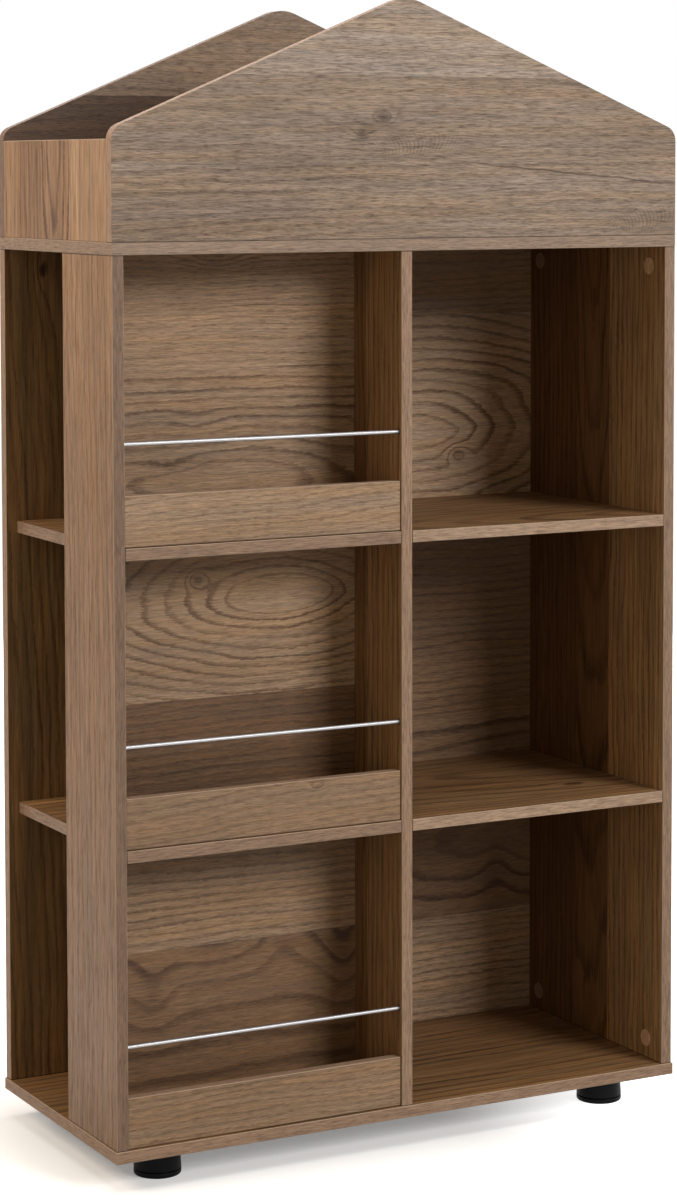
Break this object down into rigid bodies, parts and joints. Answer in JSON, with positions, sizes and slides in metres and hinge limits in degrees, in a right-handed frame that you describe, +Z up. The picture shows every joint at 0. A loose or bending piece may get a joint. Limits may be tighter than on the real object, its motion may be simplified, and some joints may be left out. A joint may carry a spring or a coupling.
{
  "type": "children's bookshelf",
  "caption": "House-shaped bookshelf with front picture-book racks, open cubes, compartments that open to the side and a gabled tray on top, on levelling feet.",
  "frame": {"origin": "on the floor, under the middle of the bounding box", "axes": "+Z up, +Y to the back, +X to the right as seen from the front"},
  "size_m": [0.803, 0.358, 1.4428],
  "materials": {
    "oak_laminate": "planked oak look, satin",
    "oak_thin_panel": "oak look, satin",
    "rod_steel": "bright",
    "foot_plastic": "satin black",
    "cap_plastic": "brown",
    "fitting_steel": "zinc",
    "dowel_beech": "raw"
  },
  "bodies": {
    "carcass": {"bottom_board": "oak_laminate", "top_board": "oak_laminate", "left_side_panel": "oak_laminate", "centre_divider": "oak_laminate", "right_side_panel": "oak_laminate", "left_back_board": "oak_laminate", "left_shelf_lower": "oak_laminate", "left_shelf_upper": "oak_laminate", "right_shelf_lower": "oak_laminate", "right_shelf_upper": "oak_laminate", "rack_rail_lower": "oak_laminate", "rack_rail_middle": "oak_laminate", "rack_rail_upper": "oak_laminate", "front_gable": "oak_laminate", "back_gable": "oak_laminate", "roof_side_left": "oak_laminate", "roof_side_right": "oak_laminate", "right_back_panel": "oak_thin_panel", "rack_back_lower": "oak_thin_panel", "rack_back_middle": "oak_thin_panel", "rack_back_upper": "oak_thin_panel", "foot_front_left": "foot_plastic", "foot_front_right": "foot_plastic", "foot_rear_left": "foot_plastic", "foot_rear_right": "foot_plastic", "cam_caps": "cap_plastic", "cam_discs": "fitting_steel", "cam_bolts": "fitting_steel", "foot_screws": "fitting_steel", "dowels": "dowel_beech", "through_dowels": "dowel_beech"},
    "rack_rod_lower": {"rack_rod_lower": "rod_steel"},
    "rack_rod_middle": {"rack_rod_middle": "rod_steel"},
    "rack_rod_upper": {"rack_rod_upper": "rod_steel"},
    "glide_front_left": {"glide_front_left": "foot_plastic"},
    "glide_front_right": {"glide_front_right": "foot_plastic"},
    "glide_rear_left": {"glide_rear_left": "foot_plastic"},
    "glide_rear_right": {"glide_rear_right": "foot_plastic"}
  },
  "joints": [
    {"name": "rod_lower_turn", "type": "hinge", "parent": "carcass", "child": "rack_rod_lower", "pos_m": [-0.19625, -0.1695, 0.1755], "axis": [1, 0, 0], "continuous": true},
    {"name": "rod_middle_turn", "type": "hinge", "parent": "carcass", "child": "rack_rod_middle", "pos_m": [-0.19625, -0.1695, 0.5405], "axis": [1, 0, 0], "continuous": true},
    {"name": "rod_upper_turn", "type": "hinge", "parent": "carcass", "child": "rack_rod_upper", "pos_m": [-0.19625, -0.1695, 0.9055], "axis": [1, 0, 0], "continuous": true},
    {"name": "glide_front_left_levelling", "type": "slide", "parent": "carcass", "child": "glide_front_left", "axis": [0, 0, -1], "range_m": [0, 0.008]},
    {"name": "glide_front_right_levelling", "type": "slide", "parent": "carcass", "child": "glide_front_right", "axis": [0, 0, -1], "range_m": [0, 0.008]},
    {"name": "glide_rear_left_levelling", "type": "slide", "parent": "carcass", "child": "glide_rear_left", "axis": [0, 0, -1], "range_m": [0, 0.008]},
    {"name": "glide_rear_right_levelling", "type": "slide", "parent": "carcass", "child": "glide_rear_right", "axis": [0, 0, -1], "range_m": [0, 0.008]}
  ]
}
